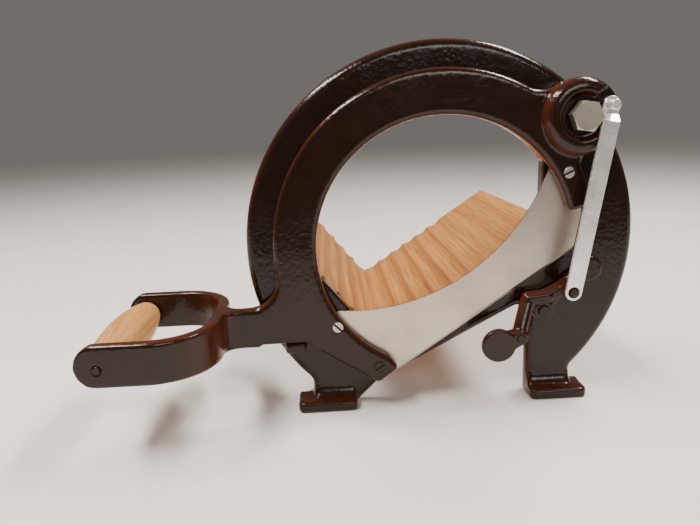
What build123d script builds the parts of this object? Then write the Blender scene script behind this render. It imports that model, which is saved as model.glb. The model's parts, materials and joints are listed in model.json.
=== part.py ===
"""Swing-arm bread slicer: a round cast frame, a blade on a swinging ring-shaped arm, and a wooden V chute.

Millimetres, +Z up, +X to the right and +Y away from the user. The origin is on the table, in the
middle of the whole object. Front views are drawn on front(depth): a plane whose own origin is the
centre of the frame ring, with x to the right and y up, and which faces the user. Depth is 0 at the
front face of the frame and grows away from the user.
"""

from math import asin, cos, degrees, radians, sin, sqrt, tan
import os

from build123d import *

# ---------------------------------------------------------------- driving dimensions
# frame casting
ring_outer_r = 172.0
opening_r = 112.0            # round upper part of the loaf opening
opening_right = 88.0         # straight right-hand side of the opening, from the ring centre
ring_height = 147.5          # ring centre above the table
frame_t = 14.0
frame_web_t = 7.0
frame_rim_w = 8.0
frame_edge_r = 7.5
bar_slope = 27.3             # underside of the bar below the blade
bar_drop = 97.0              # that underside, straight below the ring centre
leg_right_in = 79.0
leg_out = 120.0
leg_left_slope = 44.0
bar_corner_r = 9.0
opening_corner_r = 6.0
hollow_low = -40.0
hollow_right = 70.0
hollow_corner_r = 4.0
foot_t = 9.0
foot_forward = 15.0
foot_fillet_r = 11.0
cove_inset = 0.5
cove_edge_r = 4.0
foot_corner_r = 6.0
foot_edge_r = 2.5
right_foot_end = 131.0
left_foot_in = 80.0
left_foot_end = 134.0
neck_r = 6.0
pivot_pad_r = 27.0           # frame boss behind the pivot
lug_x = 133.6
lug_w = 17.6
lug_h = 9.0
lug_out = 12.0
ledge_root = 9.0

# pivot and swinging arm
pivot_x = 112.5
pivot_z = 104.5
arm_t = 11.2
arm_inner_r = 110.5
arm_outer_r = 148.0
arm_edge_r = 5.0
arm_back_edge_r = 1.0
prong_outer_r = 133.0
prong_angle = 13.0
tip_angle = 243.0
tip_nose = (-41.7, -110.0)
tip_heel = (-60.2, -123.5)
ring_start = 43.0            # where the band meets the pivot boss
boss_r = 31.5
boss_h = 11.0                # how far the boss stands out of the arm's face
boss_edge_r = 9.0
dish_r = 18.5
dish_depth = 6.0
dish_rim_r = 3.0
stem_low = 81.5              # underside of the stem, below the ring centre
stem_clear = 21.0            # fork root outside the frame ring
stem_end = ring_outer_r + stem_clear
stem_shoulder = 44.0
stem_end_top = 49.5
stop_gap = 0.4               # stem above its stop lug, at rest

# handle fork and grip
fork_t = 10.5
fork_edge_r = 3.0
fork_span = 150.0            # over the outsides of the two fork arms
fork_reach = 87.0
fork_tip_x = stem_end + fork_reach           # grip axis, left of the ring centre
fork_tip_z = 65.5            # grip axis, below the ring centre
fork_tip_r = 17.5
fork_root_r = 14.0
rod_drop = 2.0               # grip rod below the middle of the fork arms
fork_bend_r = 52.0
stem_root_len = 60.0
root_swell = 0.3             # fork root thicker than the stem on each face
grip_rod_r = 3.2
grip_mid_r = 18.5
grip_end_r = 12.5
grip_washer_t = 1.5
grip_washer_r = 8.0

# blade
blade_t = 1.6
blade_gap = 1.2              # blade to the frame's face
blade_slope = 33.8
blade_edge_drop = 97.2       # cutting edge below the pivot axis, square to the edge
blade_hollow_r = 177.0       # radius of the hollow upper edge
blade_hollow_x = -75.0
blade_hollow_z = 120.0
screw_head_r = 4.7
screw_r = 2.5
slot_w = 1.8
slot_deep = 1.3
screw_proud = 0.6
screw_short = 0.2             # screw ends stop inside the blade
blade_screw_places = ((105.5, 58.7), (-95.2, -67.7), (-59.3, -107.0))
slot_turns = (25.0, -45.0, 35.0)
blade_heel_x = -93.0
blade_nose_x = 92.0
blade_left_x = -49.0
blade_right_x = 116.3
blade_tang = ((-104.0, -60.0), (-107.0, -74.0), (-64.0, -113.0))       # hidden end behind the arm
blade_shoulder = ((122.0, 21.0), (123.0, 46.0), (109.0, 69.0))         # hidden end at the prong
bevel_run_out = 20.0
bevel_w = 2.5

# link and stop lever
crank_r = 24.0
crank_angle = 20.0
lever_x = 90.0
lever_z = -64.0
lever_pin_r = 28.0           # lever hub to the link's lower pin
lever_pin_angle = 49.0
lever_disc_reach = 54.0
lever_disc_angle = 42.5
lever_disc_r = 11.5
lever_t = 7.0
lever_edge_r = 2.0
web_edge_r = 2.5
lever_gap = 1.2              # washer and play behind the lever
lever_pivot_r = 4.0
lever_hub_r = 9.8
paddle_x = 44.6
paddle_z = -88.0
paddle_r = 15.0
paddle_t = 5.5
paddle_front = 28.5          # front of the paddle, out from the frame's face
link_w = 14.2
link_t = 2.5
link_upper_pin_r = 4.3
pin_shank_r = 3.5
pin_depth = 12.0
pin_seat_r = 15.0
link_lower_pin_r = 3.4
link_lower_play = 1.4        # radial play at the lower eye
link_washer_t = 0.8
link_play = 0.2
link_edge = 0.4
joggle_start = 7.8
joggle_end = 14.0
upper_pin_len = 11.5
lever_hub_h = 7.5
lever_pin_head_r = 5.0
lever_nut_h = 6.4
lever_nut_flat = 13.0
lever_pin_end = 2.0
lever_pin_head_h = 1.6
lever_washer_t = 1.6
lever_washer_r = 8.0
lower_pin_proud = 1.2
set_screw_proud = 1.0
web_out = 14.8                # cast web between the hub and the pin boss
web_r = 4.8
knee_x = 75.2
knee_z = -52.1
web_bend_x = 91.2
web_bend_z = -50.4
pin_boss_r = 6.5
neck_r_out = 6.6
neck_sunk = 0.6              # round end of the neck stays behind the set screw boss
set_screw_x = 63.5
set_screw_z = -81.7
set_boss_r = 7.0
paddle_web_r = 11.0
paddle_web_t = 7.9             # web between the set screw boss and the paddle
set_boss_t = 10.5
disc_proud = 0.8
web_step = 1.0
pin_boss_edge_r = 1.2
paddle_edge_r = 1.6
limb_sink = 3.0
set_boss_sink = 5.0
set_screw_r = 3.2
set_screw_deep = 6.0

# wooden chute
chute_len = 276.0
seam_x = -52.0
seam_z = -93.5
board_t = 13.0
right_slope = 32.8
left_slope = 50.9
right_w = 192.0
left_w = 112.0
flute_pitch = 20.0
flute_depth = 2.2
flute_land = 1.6             # rounded ridge left between two flutes
right_flutes = 6
left_flutes = 5
seam_margin = 4.0
board_proud = 1.5            # chute surface above the frame's V edges
lap = 16.0                   # right board carried on under the foot of the left one
lap_gap = 2.5                # saddle round the end of that lap

# screw ledges and rear support
ledge_t = 5.0
ledge_len = 26.0
ledges = ((1, 90.0), (-1, 56.0))          # board, and place of the ledge's middle up its slope
ledge_w = 62.0
rear_t = 11.0
rear_back = 34.0             # rear support in from the far end of the chute
rear_leg_x = 92.0
rear_foot_w = 44.0
rear_leg_w = 26.0
saddle_w = 16.0
saddle_end = 10.0            # boards run on past the saddle
rear_corner_r = 2.5
rear_leg_tops = ((1, 96.0, 128.0), (-1, 40.0, 68.0))     # board, and where the leg joins along its slope
board_screw_r = 2.0
board_screw_head_r = 4.0
board_screw_len = 10.0
board_screw_short = 1.0
board_screw_head_h = 2.5

# pivot hardware, M16
bolt_r = 8.0
hex_flat = 23.0
hex_turn = -9.0
bolt_past_nut = 2.5
spring_washer_r = 13.5
spring_washer_t = 3.5
head_h = 10.0
nut_h = 13.0
bush_r = 11.0
head_washer_r = 11.2
washer_r = 15.0
washer_t = 2.0
thrust_washer_r = 20.0

# clearances
running = 0.05               # radial, shaft in bush
face_gap = 0.3               # between faces that turn on each other

# ---------------------------------------------------------------- derived places
blade_front = -(blade_gap + blade_t)
arm_back = blade_front
arm_front = arm_back - arm_t
boss_front = arm_front - boss_h
dish_floor = boss_front + dish_depth
head_back = dish_floor - face_gap - washer_t
fork_mid = (arm_back + arm_front) / 2
chute_near = frame_t
chute_far = chute_near + chute_len
rear_face = chute_far - rear_back - rear_t

nut_face = frame_t + washer_t + spring_washer_t
bolt_end = nut_face + nut_h + bolt_past_nut
lever_nut_face = frame_t + lever_washer_t

rivet_proud = 1.0
depth_front = fork_mid - fork_span / 2 - rivet_proud
ring_x = (fork_tip_x + max(fork_tip_r, grip_mid_r) - ring_outer_r) / 2
front_y = -(depth_front + chute_far) / 2

pin_x = pivot_x + crank_r * cos(radians(crank_angle))
pin_z = pivot_z + crank_r * sin(radians(crank_angle))
low_x = lever_x + lever_pin_r * cos(radians(lever_pin_angle))
low_z = lever_z + lever_pin_r * sin(radians(lever_pin_angle))
disc_x = lever_x + lever_disc_reach * cos(radians(lever_disc_angle))
disc_z = lever_z + lever_disc_reach * sin(radians(lever_disc_angle))
flute_r = ((flute_pitch - flute_land) ** 2 / 4 + flute_depth**2) / (2 * flute_depth)


def front(depth):
    """Front-view plane at a depth, centred on the ring and facing the user."""
    return Plane(origin=(ring_x, front_y + depth, ring_height), x_dir=(1, 0, 0), z_dir=(0, -1, 0))


def axis_plane(x, z, depth):
    """Front-view plane centred on a pivot of the mechanism."""
    return Plane(origin=(ring_x + x, front_y + depth, ring_height + z), x_dir=(1, 0, 0), z_dir=(0, -1, 0))


def polar(radius, angle):
    return (radius * cos(radians(angle)), radius * sin(radians(angle)))


def board_point(side, along, below):
    """Point in a board's section: along the slope from the seam, and below its top surface."""
    slope = radians(right_slope if side > 0 else left_slope)
    return (
        seam_x + side * (along * cos(slope) + below * sin(slope)),
        seam_z + along * sin(slope) - below * cos(slope),
    )


def under_board(side, along, below, depth):
    """Plane on a board's underside whose normal points up into the board."""
    slope = radians(right_slope if side > 0 else left_slope)
    x, z = board_point(side, along, below)
    return Plane(
        origin=(ring_x + x, front_y + depth, ring_height + z),
        x_dir=(0, 1, 0),
        z_dir=(-side * sin(slope), 0, cos(slope)),
    )


def limb(rounds, depth, height, edge):
    """Cast limb round a row of (place, radius) circles, growing towards the user from a depth."""
    with BuildPart() as piece:
        with BuildSketch(front(depth)):
            for place, radius in rounds:
                with Locations(place):
                    Circle(radius)
            if len(rounds) > 1:
                make_hull()
        extrude(amount=height)
        fillet(edges_on(piece.part, depth - height), edge)
    return piece.part


def edges_on(part, depth):
    """Edges that lie flat in a front-view plane."""
    return part.edges().filter_by(lambda e: abs(e.bounding_box().min.Y - front_y - depth) < 1e-3
                                  and abs(e.bounding_box().max.Y - front_y - depth) < 1e-3)


ledge_screws = [
    (1, 70.0, chute_near + ledge_len / 2),
    (1, 110.0, chute_near + ledge_len / 2),
    (-1, 40.0, chute_near + ledge_len / 2),
    (-1, 75.0, chute_near + ledge_len / 2),
]
rear_screws = [(side, along, rear_face - ledge_len / 2) for side, along, _ in ledge_screws]
os.makedirs("parts", exist_ok=True)

# ---------------------------------------------------------------- frame casting
bar_tan = tan(radians(bar_slope))
leg_tan = tan(radians(leg_left_slope))
bar_left_x = (-ring_height + left_foot_in * leg_tan + bar_drop) / (bar_tan - leg_tan)
seam_low = (seam_x, seam_z - board_proud)
v_right = tan(radians(right_slope))
v_left = tan(radians(left_slope))
far = 2 * ring_outer_r

with BuildPart() as front_feet:
    for inner, end in ((leg_right_in, right_foot_end), (-left_foot_in, -left_foot_end)):
        with BuildSketch(Plane.XY):
            with Locations((ring_x + (inner + end) / 2, front_y + (frame_t - foot_forward) / 2)):
                RectangleRounded(abs(end - inner), frame_t + foot_forward, foot_corner_r)
        extrude(amount=foot_t)
    fillet(front_feet.faces().filter_by(lambda f: f.center().Z > foot_t - 0.01).edges(), foot_edge_r)

with BuildPart() as leg_roots:
    # coves from the front of each leg down to its foot, set in a little from the leg's sides
    for low, high in ((leg_right_in, leg_out), (-leg_out, -left_foot_in)):
        with BuildSketch(Plane(origin=(ring_x + low + cove_inset, front_y, 0), x_dir=(0, 1, 0),
                               z_dir=(1, 0, 0))):
            with Locations((cove_inset, foot_edge_r)):
                Rectangle(frame_t - foot_edge_r, foot_t + foot_fillet_r - foot_edge_r,
                          align=(Align.MIN, Align.MIN))
            with Locations((cove_inset, foot_t / 2)):
                Rectangle(foot_fillet_r + cove_inset, foot_t / 2 + foot_fillet_r,
                          align=(Align.MAX, Align.MIN))
            with Locations((-foot_fillet_r, foot_t + foot_fillet_r)):
                Circle(foot_fillet_r, mode=Mode.SUBTRACT)
        extrude(amount=high - low - 2 * cove_inset)
    fillet(leg_roots.edges().filter_by(GeomType.CIRCLE), cove_edge_r)

with BuildPart() as stop_lug:
    # under the stem of the arm
    with BuildSketch(front(frame_t / 2)):
        with Locations((-lug_x, -stem_low - stop_gap - lug_h / 2)):
            RectangleRounded(lug_w, lug_h, 2)
    extrude(amount=frame_t / 2 + lug_out)
    fillet(edges_on(stop_lug.part, -lug_out), 1.5)

with BuildPart() as frame_casting:
    with BuildSketch(front(0)) as outline:
        Circle(ring_outer_r)
        with Locations((pivot_x, pivot_z)):
            Circle(pivot_pad_r)
        for inner, outer in ((leg_right_in, leg_out), (-left_foot_in, -leg_out)):
            Polygon((inner, -0.4 * ring_outer_r), (inner, -ring_height), (outer, -ring_height),
                    (outer, -0.6 * ring_outer_r), align=None)
        Polygon((-far, -ring_height), (far, -ring_height), (far, -far), (-far, -far), align=None,
                mode=Mode.SUBTRACT)
        Polygon((-left_foot_in, -far), (-left_foot_in, -ring_height),
                (bar_left_x, bar_tan * bar_left_x - bar_drop),
                (leg_right_in, bar_tan * leg_right_in - bar_drop), (leg_right_in, -far), align=None,
                mode=Mode.SUBTRACT)
        fillet(outline.vertices().filter_by(lambda v: v.Y > -ring_height + 1), bar_corner_r)
        # concave necks out to the feet
        for side, end in ((1, right_foot_end), (-1, left_foot_end)):
            with Locations((side * (leg_out + end - 1) / 2, -ring_height)):
                Rectangle(end - leg_out + 1, foot_t, align=(Align.CENTER, Align.MIN))
            with Locations((side * (leg_out + neck_r / 2), foot_t - ring_height)):
                Rectangle(neck_r, neck_r, align=(Align.CENTER, Align.MIN))
            with Locations((side * (leg_out + neck_r), foot_t - ring_height + neck_r)):
                Circle(neck_r, mode=Mode.SUBTRACT)
    extrude(amount=-frame_t)
    # rounded front edge all round, except under the feet
    fillet(edges_on(frame_casting.part, 0).filter_by(lambda e: e.center().Z > foot_t - 0.1), frame_edge_r)
    # loaf opening: round above, and a V below that follows the two boards
    with BuildSketch(front(0)) as opening:
        Circle(opening_r)
        Polygon((opening_right, -far), (opening_right, far), (far, far), (far, -far), align=None,
                mode=Mode.SUBTRACT)
        Polygon(seam_low, (seam_low[0] + far, seam_low[1] + far * v_right), (far, -far), (-far, -far),
                (seam_low[0] - far, seam_low[1] + far * v_left), align=None, mode=Mode.SUBTRACT)
        fillet(opening.vertices().filter_by(lambda v: v.Y > seam_z + 20), opening_corner_r)
    extrude(amount=-frame_t, mode=Mode.SUBTRACT)
    # feet: a plate under each leg, with a cove up to the leg in front and at its outer side
    add(leg_roots.part)
    add(front_feet.part)
    add(stop_lug.part)
    # hollow back: a rim is left along the outside and round the opening
    with BuildSketch(front(frame_t)) as hollow:
        Circle(ring_outer_r - frame_rim_w)
        Circle(opening_r + frame_rim_w, mode=Mode.SUBTRACT)
        Polygon((-far, hollow_low), (hollow_right, hollow_low), (hollow_right, far), (far, far), (far, -far),
                (-far, -far), align=None, mode=Mode.SUBTRACT)
        fillet(hollow.vertices(), hollow_corner_r)
    extrude(amount=frame_t - frame_web_t, mode=Mode.SUBTRACT)
    # ledges behind the plate, under the near ends of both boards
    for side, along in ledges:
        with BuildSketch(under_board(side, along, board_t, chute_near - ledge_root)):
            Rectangle(ledge_len + ledge_root, ledge_w, align=(Align.MIN, Align.CENTER))
        extrude(amount=-ledge_t)
    # bores: pivot bolt, lever pivot, and screw holes through the ledges
    with BuildSketch(front(0)):
        with Locations((pivot_x, pivot_z)):
            Circle(bolt_r)
        with Locations((lever_x, lever_z)):
            Circle(lever_pivot_r)
    extrude(amount=-frame_t, mode=Mode.SUBTRACT)
    for side, along, depth in ledge_screws:
        with BuildSketch(under_board(side, along, board_t + ledge_t, depth)):
            Circle(board_screw_r)
        extrude(amount=ledge_t, mode=Mode.SUBTRACT)

# ---------------------------------------------------------------- wooden chute boards
flute_rise = flute_r - flute_depth
v_angle = 180 - right_slope - left_slope
left_foot = board_point(1, -board_t / sin(radians(v_angle)), 0)

with BuildPart() as chute_board_right:
    with BuildSketch(front(chute_near)):
        Polygon(board_point(1, -lap, 0), board_point(1, right_w, 0), board_point(1, right_w, board_t),
                board_point(1, -lap, board_t), align=None)
        for k in range(right_flutes):
            with Locations(board_point(1, seam_margin + (k + 0.5) * flute_pitch, -flute_rise)):
                Circle(flute_r, mode=Mode.SUBTRACT)
    extrude(amount=-chute_len)
    for side, along, depth in ledge_screws + rear_screws:
        if side > 0:
            with BuildSketch(under_board(side, along, board_t, depth)):
                Circle(board_screw_r)
            extrude(amount=board_screw_len, mode=Mode.SUBTRACT)

with BuildPart() as chute_board_left:
    with BuildSketch(front(chute_near)):
        Polygon(board_point(-1, 0, 0), board_point(-1, left_w, 0), board_point(-1, left_w, board_t),
                left_foot, align=None)
        for k in range(left_flutes):
            with Locations(board_point(-1, seam_margin + (k + 0.5) * flute_pitch, -flute_rise)):
                Circle(flute_r, mode=Mode.SUBTRACT)
    extrude(amount=-chute_len)
    for side, along, depth in ledge_screws + rear_screws:
        if side < 0:
            with BuildSketch(under_board(side, along, board_t, depth)):
                Circle(board_screw_r)
            extrude(amount=board_screw_len, mode=Mode.SUBTRACT)


def board_screws(places):
    """Round-head wood screws driven up through the ledges."""
    with BuildPart() as screws:
        for side, along, depth in places:
            with BuildSketch(under_board(side, along, board_t + ledge_t, depth)):
                Circle(board_screw_r)
            extrude(amount=ledge_t + board_screw_len - board_screw_short)
            with BuildSketch(under_board(side, along, board_t + ledge_t, depth)):
                Circle(board_screw_head_r)
            extrude(amount=-board_screw_head_h)
    return screws.part


# ---------------------------------------------------------------- rear support casting
saddle_low = board_t + saddle_w
saddle_knee = -saddle_low / tan(radians(v_angle / 2))
with BuildPart() as rear_support:
    with BuildSketch(front(rear_face)) as saddle:
        Polygon(board_point(-1, left_w - saddle_end, board_t), board_point(-1, lap / 2, board_t),
                board_point(1, -lap - lap_gap, -lap_gap), board_point(1, -lap - lap_gap, board_t),
                board_point(1, right_w - saddle_end, board_t), board_point(1, right_w - saddle_end,
                                                                           saddle_low),
                board_point(1, saddle_knee, saddle_low), board_point(-1, left_w - saddle_end, saddle_low),
                align=None)
        for side, low, high in rear_leg_tops:
            Polygon(board_point(side, low, board_t + saddle_w / 2), board_point(side, high,
                                                                                board_t + saddle_w / 2),
                    (side * (rear_leg_x + rear_leg_w / 2), -ring_height),
                    (side * (rear_leg_x - rear_leg_w / 2), -ring_height), align=None)
        fillet(saddle.vertices().filter_by(lambda v: v.Y > -ring_height + 1), rear_corner_r)
    extrude(amount=-rear_t)
    for side in (1, -1):
        with BuildSketch(Plane.XY):
            with Locations((ring_x + side * rear_leg_x, front_y + rear_face + rear_t / 2)):
                RectangleRounded(rear_foot_w, rear_t + foot_forward, foot_corner_r)
        extrude(amount=foot_t)
    for side, along in ledges:
        with BuildSketch(under_board(side, along, board_t, rear_face - ledge_len)):
            Rectangle(ledge_len + 2, ledge_w, align=(Align.MIN, Align.CENTER))
        extrude(amount=-ledge_t)
    for side, along, depth in rear_screws:
        with BuildSketch(under_board(side, along, board_t + ledge_t, depth)):
            Circle(board_screw_r)
        extrude(amount=ledge_t, mode=Mode.SUBTRACT)

# ---------------------------------------------------------------- swinging arm
with BuildPart() as handle_fork:
    with BuildSketch(Plane.XY.offset(ring_height - fork_tip_z - fork_tip_r)) as fork_plan:
        with Locations((ring_x - stem_end - 2 * fork_bend_r, front_y + fork_mid)):
            RectangleRounded(4 * fork_bend_r, fork_span, fork_bend_r)
        with Locations((ring_x - stem_end, front_y + fork_mid)):
            Rectangle(stem_root_len, arm_t + 2 * root_swell)
        with Locations((ring_x - stem_end - 2 * fork_bend_r - fork_t, front_y + fork_mid)):
            RectangleRounded(4 * fork_bend_r, fork_span - 2 * fork_t, fork_bend_r - fork_t,
                             mode=Mode.SUBTRACT)
        with Locations((ring_x - fork_tip_x - fork_tip_r, 0)):
            Rectangle(far, 2 * far, align=(Align.MAX, Align.CENTER), mode=Mode.SUBTRACT)
        roots = fork_plan.vertices().filter_by(lambda v: abs(abs(v.Y - front_y - fork_mid) - arm_t / 2 - root_swell) < 0.1
                                               and v.X < ring_x - stem_end + 1)
        fillet(roots, fork_root_r)
    extrude(amount=2 * fork_tip_r)
    fillet(handle_fork.edges().filter_by(lambda e: e.bounding_box().max.Z - e.bounding_box().min.Z < 1e-3
                                         and e.length > fork_t + 0.5), fork_edge_r)
    with BuildSketch(front(0)):
        with Locations((-fork_tip_x, -fork_tip_z)):
            Circle(fork_tip_r)
        Polygon((-fork_tip_x, -fork_tip_z - fork_tip_r), (-arm_inner_r, -fork_tip_z - fork_tip_r),
                (-arm_inner_r, -fork_tip_z + fork_tip_r), (-fork_tip_x, -fork_tip_z + fork_tip_r), align=None)
    extrude(amount=2 * fork_span, both=True, mode=Mode.INTERSECT)

tip_start = 180 + degrees(asin(stem_low / arm_outer_r))      # the ring band gives way to the tapering tip
stem_corner = polar(arm_outer_r, tip_start)
with BuildPart() as swing_arm:
    with BuildSketch(front(arm_back)) as plate:
        with BuildLine():
            inside = CenterArc((0, 0), arm_inner_r, ring_start, tip_start - ring_start)
            outside = CenterArc((0, 0), arm_outer_r, ring_start, tip_start - ring_start)
            Line(inside @ 0, outside @ 0)
            Line(inside @ 1, outside @ 1)
        make_face()
        with BuildLine():
            inside = CenterArc((0, 0), arm_inner_r, prong_angle, ring_start + 5 - prong_angle)
            outside = CenterArc((0, 0), prong_outer_r, prong_angle, ring_start + 5 - prong_angle)
            Line(inside @ 0, outside @ 0)
            Line(inside @ 1, outside @ 1)
        make_face()
        with BuildLine():
            inside = CenterArc((0, 0), arm_inner_r, tip_start - 4, tip_angle - tip_start + 4)
            Polyline(inside @ 1, tip_nose, tip_heel, stem_corner, inside @ 0)
        make_face()
        Polygon(stem_corner, (-stem_end, -stem_low), (-stem_end, -stem_end_top),
                (-arm_inner_r - 5, -stem_shoulder), align=None)
        with Locations((pivot_x, pivot_z)):
            Circle(boss_r)
        for place, radius in (((85, 121), 24.0), ((-141, -45), 26.0), (polar(prong_outer_r, 33), 10.0),
                              (tip_nose, 3.0), (tip_heel, 5.0), (polar(arm_inner_r, prong_angle), 4.0),
                              (polar(prong_outer_r, prong_angle), 7.0)):
            fillet(plate.vertices().sort_by_distance(place)[0], radius)
    extrude(amount=arm_t)
    fillet(edges_on(swing_arm.part, arm_front), arm_edge_r)
    fillet(edges_on(swing_arm.part, arm_back), arm_back_edge_r)
    # pivot boss with a dished front
    with BuildSketch(axis_plane(pivot_x, pivot_z, arm_back)):
        Circle(boss_r)
    extrude(amount=arm_t + boss_h)
    fillet(edges_on(swing_arm.part, boss_front), boss_edge_r)
    with BuildSketch(axis_plane(pivot_x, pivot_z, boss_front)):
        Circle(dish_r)
    extrude(amount=-dish_depth, mode=Mode.SUBTRACT)
    fillet(edges_on(swing_arm.part, boss_front).sort_by(SortBy.LENGTH)[0], dish_rim_r)
    with BuildSketch(axis_plane(pin_x, pin_z, dish_floor)):
        Circle(pin_seat_r)
    extrude(amount=boss_h + dish_depth, mode=Mode.SUBTRACT)
    with BuildSketch(axis_plane(pivot_x, pivot_z, arm_back)):
        Circle(bush_r)
    extrude(amount=arm_t + boss_h, mode=Mode.SUBTRACT)
    with BuildSketch(axis_plane(pin_x, pin_z, dish_floor)):
        Circle(pin_shank_r)
    extrude(amount=-pin_depth, mode=Mode.SUBTRACT)
    # handle fork, seen from above, then rounded at its free ends
    add(handle_fork.part)
    with BuildSketch(axis_plane(-fork_tip_x, -fork_tip_z - rod_drop, fork_mid - fork_span / 2)):
        Circle(grip_rod_r)
    extrude(amount=-fork_span, mode=Mode.SUBTRACT)
    # countersunk screw holes for the blade
    for x, z in blade_screw_places:
        with BuildSketch(axis_plane(x, z, arm_back)):
            Circle(screw_r)
        extrude(amount=arm_t, mode=Mode.SUBTRACT)
        with BuildSketch(axis_plane(x, z, arm_front)):
            Circle(screw_head_r)
        with BuildSketch(axis_plane(x, z, arm_front + screw_head_r - screw_r)):
            Circle(screw_r)
        loft(mode=Mode.SUBTRACT)

# ---------------------------------------------------------------- blade
edge_dir = Vector(cos(radians(blade_slope)), sin(radians(blade_slope)))
edge_foot = Vector(pivot_x, pivot_z) + Vector(edge_dir.Y, -edge_dir.X) * blade_edge_drop


def on_edge(x):
    """Point of the cutting edge at a given distance right of the ring centre."""
    return (x, edge_foot.Y + (x - edge_foot.X) * tan(radians(blade_slope)))


def hollow_point(x):
    return (x, blade_hollow_z - sqrt(blade_hollow_r**2 - (x - blade_hollow_x) ** 2))


with BuildPart() as blade:
    with BuildSketch(front(-blade_gap)) as blade_shape:
        with BuildLine():
            lower = Polyline(hollow_point(blade_heel_x), *blade_tang, on_edge(blade_left_x),
                             on_edge(blade_right_x), *blade_shoulder, hollow_point(blade_nose_x))
            RadiusArc(lower @ 1, lower @ 0, blade_hollow_r)
        make_face()
        for x, z in blade_screw_places:
            with Locations((x, z)):
                Circle(screw_r, mode=Mode.SUBTRACT)
    extrude(amount=blade_t)
    # bevel ground along the cutting edge, on the user's side
    with BuildSketch(Plane(origin=front(0).from_local_coords(Vector(*on_edge(blade_right_x + bevel_run_out), 0)),
                           x_dir=(0, 1, 0), z_dir=(cos(radians(blade_slope)), 0, sin(radians(blade_slope))))):
        Polygon((blade_front - 1, -1), (blade_front - 1, bevel_w * (1 + 1 / blade_t)),
                (-blade_gap - 0.3, -0.001),
                (-blade_gap - 0.3, -1), align=None)
    extrude(amount=-(blade_right_x - blade_left_x + 3 * bevel_run_out), mode=Mode.SUBTRACT)


def ring(plane, inner_r, outer_r, thickness):
    """Plain washer or bush that grows out of a plane, towards the user."""
    with BuildPart() as piece:
        with BuildSketch(plane):
            Circle(outer_r)
            Circle(inner_r, mode=Mode.SUBTRACT)
        extrude(amount=thickness)
    return piece.part


# ---------------------------------------------------------------- pivot hardware
with BuildPart() as head_round:
    with BuildSketch(axis_plane(pivot_x, pivot_z, head_back)):
        Circle(hex_flat / sqrt(3))
    extrude(amount=head_h)
    chamfer(edges_on(head_round.part, head_back - head_h), 1.1, 2.0)

with BuildPart() as pivot_bolt:
    with BuildSketch(axis_plane(pivot_x, pivot_z, head_back)):
        RegularPolygon(hex_flat / sqrt(3), 6, rotation=hex_turn)
    extrude(amount=head_h)
    add(head_round.part, mode=Mode.INTERSECT)
    with BuildSketch(axis_plane(pivot_x, pivot_z, head_back)):
        Circle(bolt_r)
    extrude(amount=head_back - bolt_end)
    chamfer(edges_on(pivot_bolt.part, bolt_end), 1.0)

with BuildPart() as nut_round:
    with BuildSketch(axis_plane(pivot_x, pivot_z, nut_face + nut_h)):
        Circle(hex_flat / sqrt(3))
    extrude(amount=nut_h)
    chamfer(edges_on(nut_round.part, nut_face + nut_h), 1.1, 2.0)

with BuildPart() as pivot_nut:
    with BuildSketch(axis_plane(pivot_x, pivot_z, nut_face + nut_h)):
        RegularPolygon(hex_flat / sqrt(3), 6)
    extrude(amount=nut_h)
    add(nut_round.part, mode=Mode.INTERSECT)
    with BuildSketch(axis_plane(pivot_x, pivot_z, nut_face + nut_h)):
        Circle(bolt_r)
    extrude(amount=nut_h, mode=Mode.SUBTRACT)

pivot_head_washer = ring(axis_plane(pivot_x, pivot_z, dish_floor - face_gap), bolt_r, head_washer_r, washer_t)
pivot_bush = ring(axis_plane(pivot_x, pivot_z, arm_back), bolt_r + running, bush_r, arm_back - dish_floor)
pivot_thrust_washer = ring(axis_plane(pivot_x, pivot_z, 0), bolt_r, thrust_washer_r, -arm_back - face_gap)
pivot_back_washer = ring(axis_plane(pivot_x, pivot_z, frame_t + washer_t), bolt_r, washer_r, washer_t)
pivot_spring_washer = ring(axis_plane(pivot_x, pivot_z, nut_face), bolt_r, spring_washer_r, spring_washer_t)

# ---------------------------------------------------------------- blade screws


def blade_screw(place, slot_turn):
    """Slotted countersunk screw, from the front of the arm into the blade."""
    x, z = place
    with BuildPart() as screw:
        with BuildSketch(axis_plane(x, z, -blade_gap - screw_short)):
            Circle(screw_r)
        extrude(amount=arm_t + blade_t - screw_short)
        with BuildSketch(axis_plane(x, z, arm_front)):
            Circle(screw_head_r)
        with BuildSketch(axis_plane(x, z, arm_front + screw_head_r - screw_r)):
            Circle(screw_r)
        loft()
        with BuildSketch(axis_plane(x, z, arm_front)):
            Circle(screw_head_r)
        extrude(amount=screw_proud)
        fillet(edges_on(screw.part, arm_front - screw_proud), screw_proud * 0.8)
        with BuildSketch(axis_plane(x, z, arm_front - screw_proud)):
            Rectangle(3 * screw_head_r, slot_w, rotation=slot_turn)
        extrude(amount=-slot_deep, mode=Mode.SUBTRACT)
    return screw.part


screws_made = [blade_screw(place, turn) for place, turn in zip(blade_screw_places, slot_turns)]
blade_screws = Compound(children=screws_made[:2])
blade_tip_screw = screws_made[2]

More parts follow.
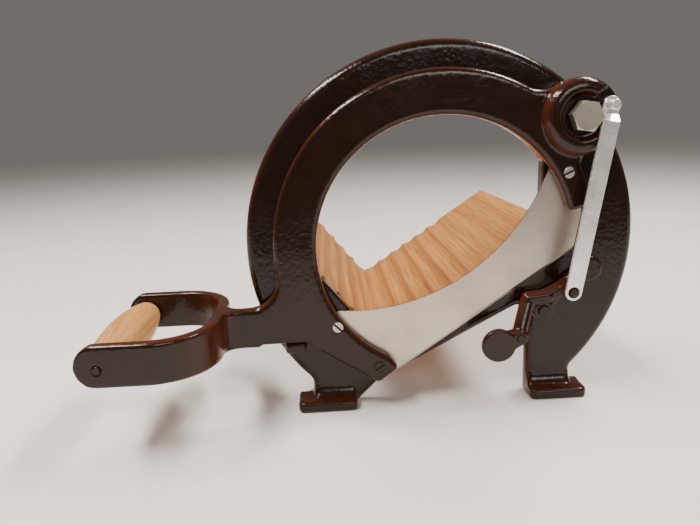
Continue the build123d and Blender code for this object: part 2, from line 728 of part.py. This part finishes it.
# ---------------------------------------------------------------- link
link_dir = Vector(low_x - pin_x, 0, low_z - pin_z).normalized()
link_len = sqrt((low_x - pin_x) ** 2 + (low_z - pin_z) ** 2)
eye_back = -dish_floor + link_washer_t + link_play
link_front_step = -boss_front + 2 * face_gap
pin_origin = front(0).from_local_coords(Vector(pin_x, pin_z, 0))
with BuildPart() as link_bar:
    with BuildSketch(Plane(origin=pin_origin, x_dir=link_dir, z_dir=(0, -1, 0))):
        with Locations((link_len / 2, 0)):
            SlotCenterToCenter(link_len, link_w)
        Circle(link_upper_pin_r + running, mode=Mode.SUBTRACT)
        with Locations((link_len, 0)):
            Circle(link_lower_pin_r + link_lower_play, mode=Mode.SUBTRACT)
    extrude(amount=2 * link_front_step)
    with BuildSketch(Plane(origin=pin_origin, x_dir=link_dir, z_dir=link_dir.cross(Vector(0, -1,
                                                                                          0)))) as joggle:
        Polygon((-link_w, eye_back), (joggle_start, eye_back), (joggle_end, link_front_step),
                (link_len + link_w, link_front_step), (link_len + link_w, link_front_step + link_t),
                (joggle_end - 1, link_front_step + link_t), (joggle_start - 1, eye_back + link_t),
                (-link_w, eye_back + link_t), align=None)
    extrude(amount=link_w, both=True, mode=Mode.INTERSECT)
    link_edges = edges_on(link_bar.part, -link_front_step - link_t) + edges_on(link_bar.part,
                                                                               -eye_back - link_t)
    chamfer(link_edges.filter_by(lambda e: e.length > link_w + 2), link_edge)

with BuildPart() as link_upper_pin:
    with BuildSketch(axis_plane(pin_x, pin_z, dish_floor + pin_depth)):
        Circle(pin_shank_r)
    extrude(amount=pin_depth)
    with BuildSketch(axis_plane(pin_x, pin_z, dish_floor)):
        Circle(link_upper_pin_r)
    extrude(amount=upper_pin_len)
    fillet(edges_on(link_upper_pin.part, dish_floor - upper_pin_len), 1.0)
link_upper_washer = ring(axis_plane(pin_x, pin_z, dish_floor), link_upper_pin_r, link_w / 2 - 0.5,
                         link_washer_t)

# ---------------------------------------------------------------- stop lever
lever_back = -lever_gap
hub = (lever_x, lever_z)
pin_boss = (low_x, low_z)
disc = (disc_x, disc_z)
knee = (knee_x, knee_z)
web_bend = (web_bend_x, web_bend_z)
paddle = (paddle_x, paddle_z)
set_boss = (set_screw_x, set_screw_z)
paddle_back = -paddle_front + paddle_t

lever_limbs = [
    # hub, plate out to the knee, and the arm to the disc
    limb([(hub, lever_hub_r)], lever_back, lever_hub_h, lever_edge_r),
    limb([(hub, lever_hub_r - 2), (knee, web_r)], lever_back, lever_t, lever_edge_r),
    limb([(hub, web_r), (pin_boss, web_r)], lever_back, lever_t, lever_edge_r),
    limb([(pin_boss, pin_boss_r), (disc, pin_boss_r)], lever_back, lever_t, lever_edge_r),
    limb([(disc, lever_disc_r)], lever_back, lever_t + disc_proud, lever_edge_r),
    # web that stands out from the knee to the pin boss
    limb([(knee, web_r), (web_bend, web_r)], lever_back, web_out, web_edge_r),
    limb([(web_bend, web_r), (pin_boss, pin_boss_r - web_step)], lever_back, web_out - web_step, web_edge_r),
    limb([(pin_boss, pin_boss_r)], lever_back, link_front_step - lever_gap - face_gap, pin_boss_edge_r),
    # set screw boss and paddle
    limb([(set_boss, set_boss_r), (paddle, paddle_web_r)], paddle_back + limb_sink, paddle_web_t,
         lever_edge_r),
    limb([(set_boss, set_boss_r)], paddle_back + set_boss_sink, set_boss_t, lever_edge_r),
    limb([(paddle, paddle_r)], paddle_back, paddle_t, paddle_edge_r),
]

neck_low = axis_plane(*knee, lever_back - web_out / 2).origin
neck_high = axis_plane(*set_boss, -paddle_front + neck_r_out + neck_sunk).origin
with BuildPart() as lever_neck:
    # round neck from the knee out to the paddle
    with BuildSketch(Plane(origin=neck_low, z_dir=neck_high - neck_low)):
        Circle(neck_r_out)
    extrude(amount=(neck_high - neck_low).length)
    with Locations(neck_low, neck_high):
        Sphere(neck_r_out)

with BuildPart() as stop_lever:
    add(lever_limbs)
    add(lever_neck.part)
    with BuildSketch(axis_plane(*hub, lever_back)):
        Circle(lever_pivot_r + running)
    extrude(amount=lever_hub_h, mode=Mode.SUBTRACT)
    with BuildSketch(axis_plane(*pin_boss, lever_back)):
        Circle(link_lower_pin_r)
    extrude(amount=link_front_step, mode=Mode.SUBTRACT)
    with BuildSketch(axis_plane(*set_boss, -paddle_front)):
        Circle(set_screw_r)
    extrude(amount=-set_screw_deep, mode=Mode.SUBTRACT)

with BuildPart() as link_lower_pin:
    with BuildSketch(axis_plane(low_x, low_z, lever_back)):
        Circle(link_lower_pin_r)
    extrude(amount=link_front_step + link_t + lower_pin_proud - lever_gap)
    fillet(edges_on(link_lower_pin.part, -link_front_step - link_t - lower_pin_proud), 0.9)

with BuildPart() as stop_set_screw:
    with BuildSketch(axis_plane(*set_boss, -paddle_front + set_screw_deep)):
        Circle(set_screw_r)
    extrude(amount=set_screw_deep + set_screw_proud)
    fillet(edges_on(stop_set_screw.part, -paddle_front - set_screw_proud), 0.7)

with BuildPart() as lever_pivot_pin:
    with BuildSketch(axis_plane(lever_x, lever_z, lever_nut_face + lever_nut_h + lever_pin_end)):
        Circle(lever_pivot_r)
    extrude(amount=lever_nut_face + lever_nut_h + lever_pin_end - lever_back + lever_hub_h + face_gap)
    with BuildSketch(axis_plane(lever_x, lever_z, lever_back - lever_hub_h - face_gap)):
        Circle(lever_pin_head_r)
    extrude(amount=lever_pin_head_h)
    fillet(edges_on(lever_pivot_pin.part, lever_back - lever_hub_h - face_gap - lever_pin_head_h), 1.2)
lever_washer = ring(axis_plane(lever_x, lever_z, 0), lever_pivot_r, lever_hub_r, lever_gap - face_gap)
lever_back_washer = ring(axis_plane(lever_x, lever_z, lever_nut_face), lever_pivot_r, lever_washer_r,
                         lever_washer_t)
with BuildPart() as lever_nut:
    with BuildSketch(axis_plane(lever_x, lever_z, lever_nut_face + lever_nut_h)):
        RegularPolygon(lever_nut_flat / sqrt(3), 6)
        Circle(lever_pivot_r, mode=Mode.SUBTRACT)
    extrude(amount=lever_nut_h)

# ---------------------------------------------------------------- grip and its rod
rod_z = -fork_tip_z - rod_drop
fork_near = fork_mid - fork_span / 2
fork_far = fork_mid + fork_span / 2
with BuildPart() as grip_rod:
    with BuildSketch(axis_plane(-fork_tip_x, rod_z, fork_far + rivet_proud)):
        Circle(grip_rod_r)
    extrude(amount=fork_span + 2 * rivet_proud)
    fillet(edges_on(grip_rod.part, fork_far + rivet_proud) + edges_on(grip_rod.part,
                                                                      fork_near - rivet_proud), 0.8)
grip_half = fork_span / 2 - fork_t - grip_washer_t - face_gap
grip_origin = front(fork_mid).from_local_coords(Vector(-fork_tip_x, rod_z, 0))
with BuildPart() as handle_grip:
    with BuildSketch(Plane(origin=grip_origin, x_dir=(0, 1, 0), z_dir=(1, 0, 0))):
        with BuildLine():
            swell = ThreePointArc((-grip_half, grip_end_r), (0, grip_mid_r), (grip_half, grip_end_r))
            Polyline(swell @ 1, (grip_half, grip_rod_r + running), (-grip_half, grip_rod_r + running),
                     swell @ 0)
        make_face()
    revolve(axis=Axis(grip_origin, (0, 1, 0)))
    fillet(handle_grip.edges().filter_by(GeomType.CIRCLE).sort_by(SortBy.LENGTH)[-2:], 3.0)
grip_washers = Compound(children=[
    ring(axis_plane(-fork_tip_x, rod_z, fork_near + fork_t + grip_washer_t), grip_rod_r, grip_washer_r,
         grip_washer_t),
    ring(axis_plane(-fork_tip_x, rod_z, fork_far - fork_t), grip_rod_r, grip_washer_r, grip_washer_t),
])

# ---------------------------------------------------------------- files
pieces = {
    "frame_casting": frame_casting.part,
    "rear_support": rear_support.part,
    "chute_board_right": chute_board_right.part,
    "chute_board_left": chute_board_left.part,
    "front_board_screws": board_screws(ledge_screws),
    "rear_board_screws": board_screws(rear_screws),
    "swing_arm": swing_arm.part,
    "blade": blade.part,
    "blade_screws": blade_screws,
    "blade_tip_screw": blade_tip_screw,
    "pivot_bolt": pivot_bolt.part,
    "pivot_head_washer": pivot_head_washer,
    "pivot_bush": pivot_bush,
    "pivot_thrust_washer": pivot_thrust_washer,
    "pivot_back_washer": pivot_back_washer,
    "pivot_spring_washer": pivot_spring_washer,
    "pivot_nut": pivot_nut.part,
    "link_bar": link_bar.part,
    "link_upper_pin": link_upper_pin.part,
    "link_upper_washer": link_upper_washer,
    "link_lower_pin": link_lower_pin.part,
    "stop_lever": stop_lever.part,
    "stop_set_screw": stop_set_screw.part,
    "lever_pivot_pin": lever_pivot_pin.part,
    "lever_washer": lever_washer,
    "lever_back_washer": lever_back_washer,
    "lever_nut": lever_nut.part,
    "handle_grip": handle_grip.part,
    "grip_rod": grip_rod.part,
    "grip_washers": grip_washers,
}
for name, piece in pieces.items():
    piece.label = name
    export_step(piece, f"parts/{name}.step")
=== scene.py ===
"""Hand bread slicer: finishes, enamelled castings, floor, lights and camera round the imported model.

Metres, +Z up, +X to the right, +Y away from the user.
"""

import json
import math

import bpy
from mathutils import Matrix, Vector


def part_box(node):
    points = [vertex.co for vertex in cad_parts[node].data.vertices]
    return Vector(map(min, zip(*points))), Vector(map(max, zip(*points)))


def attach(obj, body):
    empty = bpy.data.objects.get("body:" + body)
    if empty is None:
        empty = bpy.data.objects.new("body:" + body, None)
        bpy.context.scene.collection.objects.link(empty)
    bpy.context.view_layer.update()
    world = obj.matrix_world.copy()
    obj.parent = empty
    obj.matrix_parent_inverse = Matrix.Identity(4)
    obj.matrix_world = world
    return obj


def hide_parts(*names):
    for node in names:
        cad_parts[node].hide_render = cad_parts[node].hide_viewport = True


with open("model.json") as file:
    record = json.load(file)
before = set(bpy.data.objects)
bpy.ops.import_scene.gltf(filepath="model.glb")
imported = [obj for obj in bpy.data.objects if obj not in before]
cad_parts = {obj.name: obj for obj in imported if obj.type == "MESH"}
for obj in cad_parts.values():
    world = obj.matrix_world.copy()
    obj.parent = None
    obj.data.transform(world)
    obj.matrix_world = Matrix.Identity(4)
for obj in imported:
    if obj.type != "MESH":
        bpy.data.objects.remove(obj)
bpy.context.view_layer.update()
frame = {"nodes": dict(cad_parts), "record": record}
NODES = frame["nodes"]


# ---------------------------------------------------------------- places taken from the frame
RING_R = 0.172           # outside of the frame casting's ring
CASTING_T = 0.014        # its thickness: the chute boards butt against its back
CASTING_LOW, CASTING_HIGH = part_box("frame_casting")
FACE_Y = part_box("chute_board_right")[0].y - CASTING_T
RING = Vector(((CASTING_LOW.x + CASTING_HIGH.x) / 2, FACE_Y, CASTING_HIGH.z - RING_R))
SCREW_HEAD_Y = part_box("blade_screws")[0].y
SLOT_SHADE_DEPTH = 0.0005      # painted shade in a screw's slot starts this deep behind the heads' front face
BLADE_SLOPE = math.radians(33.8)


# ---------------------------------------------------------------- material helpers
class Nodes:
    """A material under construction, with short names for adding and joining nodes."""

    def __init__(self, name):
        self.material = bpy.data.materials.new(name)
        self.material.use_nodes = True
        self.tree = self.material.node_tree
        self.shader = self.tree.nodes["Principled BSDF"]
        coordinates = self.tree.nodes.new("ShaderNodeTexCoord")
        self.where = coordinates.outputs["Object"]
        self.facing = coordinates.outputs["Normal"]

    def add(self, kind, **values):
        node = self.tree.nodes.new("ShaderNode" + kind)
        for key, value in values.items():
            if key in node.inputs:
                node.inputs[key].default_value = value
            else:
                setattr(node, key, value)
        return node

    def join(self, source, target):
        self.tree.links.new(source, target)

    def stretch(self, scale, turn=(0, 0, 0)):
        """Object coordinates scaled and turned for one pattern."""
        mapping = self.add("Mapping")
        mapping.inputs["Scale"].default_value = scale
        mapping.inputs["Rotation"].default_value = turn
        self.join(self.where, mapping.inputs["Vector"])
        return mapping.outputs[0]

    def noise(self, scale, detail=3.0, roughness=0.55, vector=None):
        node = self.add("TexNoise", Scale=scale, Detail=detail, Roughness=roughness)
        self.join(vector or self.where, node.inputs["Vector"])
        return node.outputs["Fac"]

    def ramp(self, source, *stops):
        node = self.add("ValToRGB")
        elements = node.color_ramp.elements
        while len(elements) < len(stops):
            elements.new(0.5)
        for element, (place, colour) in zip(elements, stops):
            element.position = place
            element.color = (*colour, 1) if isinstance(colour, tuple) else (colour, colour, colour, 1)
        self.join(source, node.inputs[0])
        return node.outputs[0]

    def mix(self, factor, first, second, blend="MIX"):
        node = self.add("Mix", data_type="RGBA", blend_type=blend)
        for value, socket in ((factor, node.inputs[0]), (first, node.inputs[6]), (second, node.inputs[7])):
            if isinstance(value, (tuple, float, int)):
                socket.default_value = (*value, 1) if isinstance(value, tuple) else value
            else:
                self.join(value, socket)
        return node.outputs[2]

    def maths(self, operation, first, second=0.5):
        node = self.add("Math", operation=operation)
        for value, socket in ((first, node.inputs[0]), (second, node.inputs[1])):
            if isinstance(value, (float, int)):
                socket.default_value = value
            else:
                self.join(value, socket)
        return node.outputs[0]

    def bump(self, height, strength, distance, below=None):
        node = self.add("Bump", Strength=strength, Distance=distance)
        self.join(height, node.inputs["Height"])
        if below is not None:
            self.join(below, node.inputs["Normal"])
        return node.outputs[0]

    def finish(self, colour=None, roughness=None, normal=None, **constants):
        for source, socket in ((colour, "Base Color"), (roughness, "Roughness"), (normal, "Normal")):
            if source is not None:
                self.join(source, self.shader.inputs[socket])
        for name, value in constants.items():
            self.shader.inputs[name.replace("_", " ")].default_value = value
        return self.material


def enamel(name, deep, warm):
    """Thick glossy brown enamel over rough cast iron: orange peel and pits, painted light as a warmer tone
    in patches on edges and sides, and painted glints as bright specks.
    """
    m = Nodes(name)
    facing = m.add("SeparateXYZ")
    m.join(m.facing, facing.inputs[0])
    # painted light: edges and sides whose normal turns away from the front get the lighter warm tone, in
    # random patches
    painted_edge_light = m.ramp(m.maths("ABSOLUTE", facing.outputs["Y"]), (0.30, 1.0), (0.95, 0.0))
    patches = m.ramp(m.noise(26, 4, 0.6), (0.30, 0.35), (0.70, 1.0))
    colour = m.mix(m.maths("MULTIPLY", painted_edge_light, patches), deep, warm)
    # painted glints: fine bright specks all over the enamel
    painted_glints = m.ramp(m.noise(900, 2, 0.6), (0.66, 0.0), (0.74, 0.35))
    colour = m.mix(painted_glints, colour, tuple(2.2 * c for c in warm))
    sag = m.bump(m.noise(55, 2, 0.4), 0.20, 0.0012)
    peel = m.bump(m.noise(270, 2, 0.5), 0.30, 0.0010, sag)
    cast = m.bump(m.noise(1100, 2, 0.6), 0.10, 0.0003, peel)
    roughness = m.ramp(m.noise(70, 3), (0.3, 0.13), (0.75, 0.26))
    return m.finish(colour, roughness, cast, Metallic=0.0, Coat_Weight=0.12, Coat_Roughness=0.04,
                    Specular_IOR_Level=0.26)


def brushed(name, along, base, coarse=0.27):
    """Ground steel with fine scratches along one direction and faint stains."""
    m = Nodes(name)
    streaks = m.noise(90, 5, 0.7, m.stretch(scale=(1, 1, 26), turn=(0, -along, 0)))
    stains = m.ramp(m.noise(26, 4, 0.6), (0.45, 1.0), (0.75, 0.78))
    low_tone = tuple(0.88 * c for c in base)
    colour = m.mix(1.0, m.ramp(streaks, (0.3, low_tone), (0.7, base)), stains, "MULTIPLY")
    roughness = m.ramp(streaks, (0.25, coarse), (0.8, coarse + 0.16))
    normal = m.bump(streaks, 0.10, 0.0002)
    return m.finish(colour, roughness, normal, Metallic=1.0)


def plated(name, tone, rough, pits, metal=1.0, shade_depth=None):
    """Zinc or nickel plating, lightly pitted and stained, with painted shade deeper than a given depth."""
    m = Nodes(name)
    spots = m.ramp(m.noise(420, 4, 0.6), (0.60, 0.0), (0.72, 1.0))
    cloud = m.noise(90, 4, 0.6)
    colour = m.mix(m.maths("MULTIPLY", spots, pits), tone, tuple(0.42 * c for c in tone))
    colour = m.mix(m.ramp(cloud, (0.4, 0.0), (0.8, 0.45)), colour, tuple(0.72 * c for c in tone))
    roughness = m.ramp(cloud, (0.3, rough), (0.7, rough + 0.15))
    normal = m.bump(spots, 0.15, -0.0002)
    if shade_depth is not None:
        # painted shade: everything deeper than the given depth behind the front turns near-black, standing
        # in for shade in the slots
        place = m.add("SeparateXYZ")
        m.join(m.where, place.inputs[0])
        depth = m.maths("MULTIPLY", m.maths("SUBTRACT", place.outputs["Y"], shade_depth), SLOT_SHADE_EDGE)
        colour = m.mix(m.ramp(depth, (0.0, 0.0), (1.0, 1.0)), colour, PAINTED_SLOT_SHADE)
    return m.finish(colour, roughness, normal, Metallic=metal)


GRAIN_PULL = 0.05        # grain patterns are drawn out along the chute and the grip
# near-black painted shade for the deep parts of the screws
PAINTED_SLOT_SHADE = (0.035, 0.022, 0.015)
SLOT_SHADE_EDGE = 2500.0      # how suddenly the painted shade starts, per metre of depth


def wood(name, light, dark, rings=170.0, rough=0.5):
    """Straight-grained wood: growth rings drawn out along the grain, with pores and a soft oil sheen."""
    m = Nodes(name)
    along = m.stretch(scale=(1, GRAIN_PULL, 1))
    wander = m.noise(14, 3, 0.5, along)
    wave = m.add("TexWave", Scale=rings / 10, Distortion=5.0, Detail=3.0)
    wave.inputs["Detail Scale"].default_value = 1.6
    m.join(along, wave.inputs["Vector"])
    fibres = m.noise(460, 4, 0.7, m.stretch(scale=(1, GRAIN_PULL / 2, 1)))
    tone = m.maths("ADD", m.maths("MULTIPLY", wave.outputs["Fac"], 0.30), m.maths("MULTIPLY", wander, 0.70))
    colour = m.mix(m.ramp(tone, (0.25, 0.0), (0.85, 1.0)), light, dark)
    colour = m.mix(m.ramp(fibres, (0.34, 0.75), (0.56, 0.0)), colour, tuple(0.7 * c for c in dark))
    roughness = m.ramp(fibres, (0.3, rough), (0.7, rough + 0.15))
    normal = m.bump(fibres, 0.22, 0.0003)
    return m.finish(colour, roughness, normal, Coat_Weight=0.08, Coat_Roughness=0.35)


# The arm's enamel is a lighter copy of the same brown enamel, painted light on the swing arm and stop lever
# standing in front of the frame.
ENAMEL = enamel("brown_enamel", (0.0125, 0.0046, 0.0023), (0.066, 0.0165, 0.0075))
LIT_ARM_ENAMEL = enamel("lit_arm_enamel", (0.0150, 0.0050, 0.0024), (0.084, 0.0200, 0.0088))
BLADE_STEEL = brushed("blade_steel", BLADE_SLOPE, (0.60, 0.52, 0.435))
ZINC = plated("bright_zinc", (0.90, 0.865, 0.82), 0.20, 0.18, metal=0.72)
NICKEL = plated("dull_nickel", (0.42, 0.38, 0.31), 0.34, 0.5)
# the bright screws get painted shade in their slots
SCREW_STEEL = plated("bright_screws", (0.56, 0.52, 0.46), 0.30, 0.6, shade_depth=SCREW_HEAD_Y + SLOT_SHADE_DEPTH)
BRONZE = plated("bearing_bronze", (0.62, 0.40, 0.16), 0.35, 0.3)
CHUTE_WOOD = wood("chute_wood", (0.56, 0.250, 0.060), (0.37, 0.140, 0.028))
GRIP_WOOD = wood("grip_wood", (0.69, 0.335, 0.105), (0.53, 0.22, 0.06), rings=110.0, rough=0.42)

FINISHES = {
    "enamel": ENAMEL,
    "blade_steel": BLADE_STEEL,
    "zinc": ZINC,
    "plated_steel": NICKEL,
    "bright_steel": SCREW_STEEL,
    "bearing_bronze": BRONZE,
    "chute_wood": CHUTE_WOOD,
    "grip_wood": GRIP_WOOD,
}
# ---------------------------------------------------------------- castings with a soft enamel skin
WELD = 1e-6


def soft_casting(node, body, finish, grain, rounds):
    """Copy of a casting whose corners are filled and rounded by thick enamel."""
    bpy.ops.object.select_all(action="DESELECT")
    piece = NODES[node].copy()
    piece.data = NODES[node].data.copy()
    piece.name = node + "_enamelled"
    bpy.context.collection.objects.link(piece)
    bpy.context.view_layer.objects.active = piece
    piece.select_set(True)
    bpy.ops.object.mode_set(mode="EDIT")
    bpy.ops.mesh.select_all(action="SELECT")
    bpy.ops.mesh.remove_doubles(threshold=WELD)
    bpy.ops.mesh.normals_make_consistent(inside=False)
    bpy.ops.object.mode_set(mode="OBJECT")
    skin = piece.modifiers.new("skin", "REMESH")
    skin.mode = "VOXEL"
    skin.voxel_size = grain
    bpy.ops.object.modifier_apply(modifier=skin.name)
    softer = piece.modifiers.new("softer", "SMOOTH")
    softer.factor = 0.5
    softer.iterations = rounds
    bpy.ops.object.modifier_apply(modifier=softer.name)
    bpy.ops.object.shade_smooth()
    piece.data.materials.clear()
    piece.data.materials.append(finish)
    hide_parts(node)
    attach(piece, body)
    return piece


for part in frame["record"]["subparts"]:
    node = NODES[part["node"]]
    node.data.materials.clear()
    node.data.materials.append(FINISHES[part["material_slot"]])

soft_casting("frame_casting", "frame", ENAMEL, 0.0013, 5)
# the swing arm and stop lever take the lighter, painted-light copy of the enamel
soft_casting("swing_arm", "arm", LIT_ARM_ENAMEL, 0.0012, 5)
soft_casting("stop_lever", "stop", LIT_ARM_ENAMEL, 0.0008, 4)

# ---------------------------------------------------------------- floor, lights and camera
FLOOR_SIZE = 6.0
FLOOR_FRONT = 0.75       # the floor ends this far in front of the object's middle
FLOOR_DROP = 0.0005
bpy.ops.object.select_all(action="DESELECT")
bpy.ops.mesh.primitive_plane_add(size=FLOOR_SIZE, location=(0, FLOOR_SIZE / 2 - FLOOR_FRONT, -FLOOR_DROP))
floor = bpy.context.object
floor.name = "studio_floor"
m = Nodes("studio_floor")
tone = m.ramp(m.noise(6, 3), (0.3, (0.90, 0.855, 0.815)), (0.7, (0.94, 0.895, 0.855)))
floor.data.materials.append(m.finish(tone,
                                     m.ramp(m.noise(30, 3), (0.3, 0.55), (0.7, 0.7)),
                                     m.bump(m.noise(300, 3), 0.05, 0.0005)))

world = bpy.data.worlds.new("studio")
bpy.context.scene.world = world
world.use_nodes = True
world.node_tree.nodes["Background"].inputs["Color"].default_value = (0.66, 0.62, 0.58, 1)
world.node_tree.nodes["Background"].inputs["Strength"].default_value = 0.25


def lamp(name, place, aim, width, height, power, colour=(1, 1, 1)):
    bpy.ops.object.light_add(type="AREA", location=place)
    light = bpy.context.object
    light.name = name
    light.data.shape = "RECTANGLE"
    light.data.size = width
    light.data.size_y = height
    light.data.energy = power
    light.data.color = colour
    light.rotation_mode = "QUATERNION"
    light.rotation_quaternion = (Vector(aim) - Vector(place)).to_track_quat("-Z", "Y")
    return light


AIM = (0.0, 0.0, 0.14)
lamp("ceiling_left", (-0.9, -0.25, 1.7), AIM, 1.5, 0.24, 52, (1.0, 0.95, 0.89))
lamp("ceiling_right", (1.0, 0.3, 1.6), AIM, 1.2, 0.24, 38, (1.0, 0.95, 0.90))
lamp("front_fill", (0.5, -1.9, 1.1), AIM, 1.0, 0.7, 15, (1.0, 0.96, 0.92))

EYE = RING + Vector((-0.0998, -0.51422, 0.1086))
AHEAD = Vector((0.0342, 0.9727, -0.2297)).normalized()
RIGHT = Vector((0.9982, -0.0447, -0.0408)).normalized()
UP = RIGHT.cross(AHEAD).normalized()
RIGHT = AHEAD.cross(UP).normalized()
camera_data = bpy.data.cameras.new("camera")
camera = bpy.data.objects.new("camera", camera_data)
bpy.context.collection.objects.link(camera)
camera.matrix_world = Matrix((
    (RIGHT.x, UP.x, -AHEAD.x, EYE.x),
    (RIGHT.y, UP.y, -AHEAD.y, EYE.y),
    (RIGHT.z, UP.z, -AHEAD.z, EYE.z),
    (0, 0, 0, 1),
))
camera_data.sensor_width = 36.0
camera_data.lens = 30.86
bpy.context.scene.camera = camera
